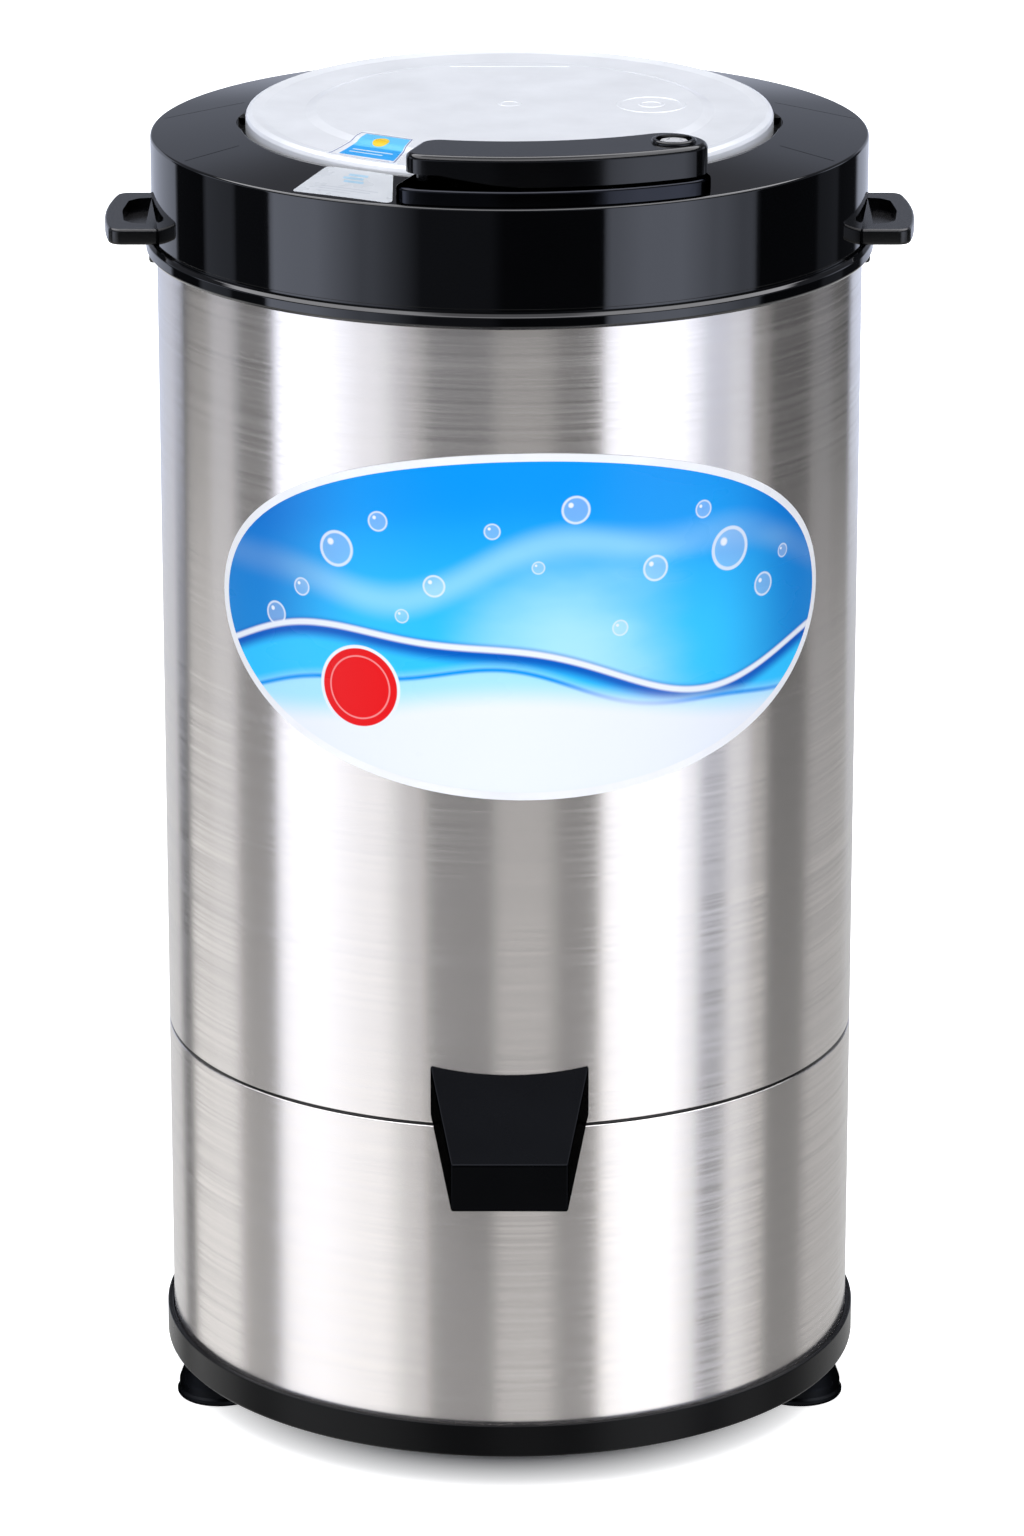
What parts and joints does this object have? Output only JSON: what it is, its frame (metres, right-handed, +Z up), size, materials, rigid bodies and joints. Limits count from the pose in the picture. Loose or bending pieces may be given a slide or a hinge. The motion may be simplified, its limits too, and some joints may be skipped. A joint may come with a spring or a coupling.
{
  "type": "laundry spin dryer",
  "caption": "Top-loading laundry spin dryer: round steel casing on rubber feet, black collar with side handles, hinged lid, swinging latch, perforated drum and front drain spout.",
  "frame": {"origin": "centre of the outline's box on the floor plane; the drum's axis is 18.3 mm behind it", "axes": "+Z up along the drum's axis, front with the drain spout towards -Y, +X to the right of someone facing the front"},
  "size_m": [0.401, 0.3974, 0.682],
  "materials": {
    "steel_sheet": "vertically brushed stainless sheet, soft sheen",
    "black_gloss": "polished black moulding",
    "black_satin": "satin black moulding with a fine grain",
    "rubber": "matte black rubber",
    "white_plastic": "slightly milky white moulding",
    "grey_plastic": "moulded, matte",
    "chrome": "bright",
    "zinc_steel": "zinc plated",
    "cast_aluminium": "as cast",
    "cast_iron": "turned on its faces",
    "copper_winding": "enamelled winding",
    "bronze": "plain bearing",
    "drum_steel": "polished stainless, perforated",
    "badge_vinyl": "printed vinyl, blue with a white border"
  },
  "bodies": {
    "casing_body": {"base_tray": "black_satin", "lower_casing": "steel_sheet", "seam_ring": "black_satin", "upper_casing": "steel_sheet", "cord_gland": "rubber", "collar": "black_gloss", "collar_trim_ring": "black_gloss", "lid_seal": "rubber", "lid_hinge_bracket": "black_satin", "lid_hinge_pin": "chrome", "latch_pedestal": "black_satin", "water_tub": "grey_plastic", "drain_nozzle": "grey_plastic", "drain_hood": "black_satin", "tub_seal": "rubber", "motor_tripod": "cast_aluminium", "motor_housing": "cast_aluminium", "motor_stator": "copper_winding", "motor_end_bell": "cast_aluminium", "bearing_housing": "cast_aluminium", "lower_bearing": "zinc_steel", "upper_bearing": "zinc_steel", "front_badge": "badge_vinyl", "foot_left": "rubber", "foot_right": "rubber", "foot_rear": "rubber", "foot_screw_left": "zinc_steel", "foot_screw_right": "zinc_steel", "foot_screw_rear": "zinc_steel", "motor_mount_1": "rubber", "motor_mount_2": "rubber", "motor_mount_3": "rubber", "mount_stud_1": "zinc_steel", "mount_stud_2": "zinc_steel", "mount_stud_3": "zinc_steel", "side_handle_right": "black_satin", "side_handle_left": "black_satin", "handle_clip_right": "black_satin", "handle_clip_left": "black_satin", "hood_screw_right": "zinc_steel", "hood_screw_left": "zinc_steel", "pivot_bush": "bronze", "interlock_switch": "black_satin", "capacitor": "grey_plastic", "capacitor_clip": "zinc_steel"},
    "lid_body": {"lid": "white_plastic"},
    "latch": {"latch_lever": "black_satin", "pivot_pin": "chrome", "brake_rod": "zinc_steel"},
    "plunger": {"interlock_plunger": "grey_plastic"},
    "brake": {"brake_arm": "zinc_steel", "brake_lining": "rubber"},
    "drum_body": {"drum": "drum_steel", "drum_ring": "black_satin", "drum_hub": "cast_aluminium", "drum_nut": "zinc_steel", "drum_cone": "white_plastic", "drive_shaft": "zinc_steel", "motor_rotor": "cast_iron", "brake_drum": "cast_iron"}
  },
  "joints": [
    {"name": "lid_hinge", "type": "hinge", "parent": "casing_body", "child": "lid_body", "pos_m": [0, 0.1643, 0.652], "axis": [-1, 0, 0], "range_deg": [0, 100]},
    {"name": "latch_turn", "type": "hinge", "parent": "casing_body", "child": "latch", "pos_m": [0.07777, -0.12084, 0.66], "axis": [0, 0, 1], "range_deg": [0, 80]},
    {"name": "drum_spin", "type": "hinge", "parent": "casing_body", "child": "drum_body", "pos_m": [0, 0.0183, 0.3], "axis": [0, 0, 1], "continuous": true},
    {"name": "plunger_slide", "type": "slide", "parent": "casing_body", "child": "plunger", "axis": [0, 0, 1], "range_m": [0, 0.002]},
    {"name": "brake_turn", "type": "hinge", "parent": "casing_body", "child": "brake", "pos_m": [-0.00215, -0.05164, 0.07], "axis": [0, 0, 1], "range_deg": [0, 1.6]}
  ],
  "couplings": [
    {"joint": "plunger_slide", "follows": "latch_turn", "m_per_rad": 0.0014},
    {"joint": "brake_turn", "follows": "latch_turn", "ratio": 0.02}
  ]
}
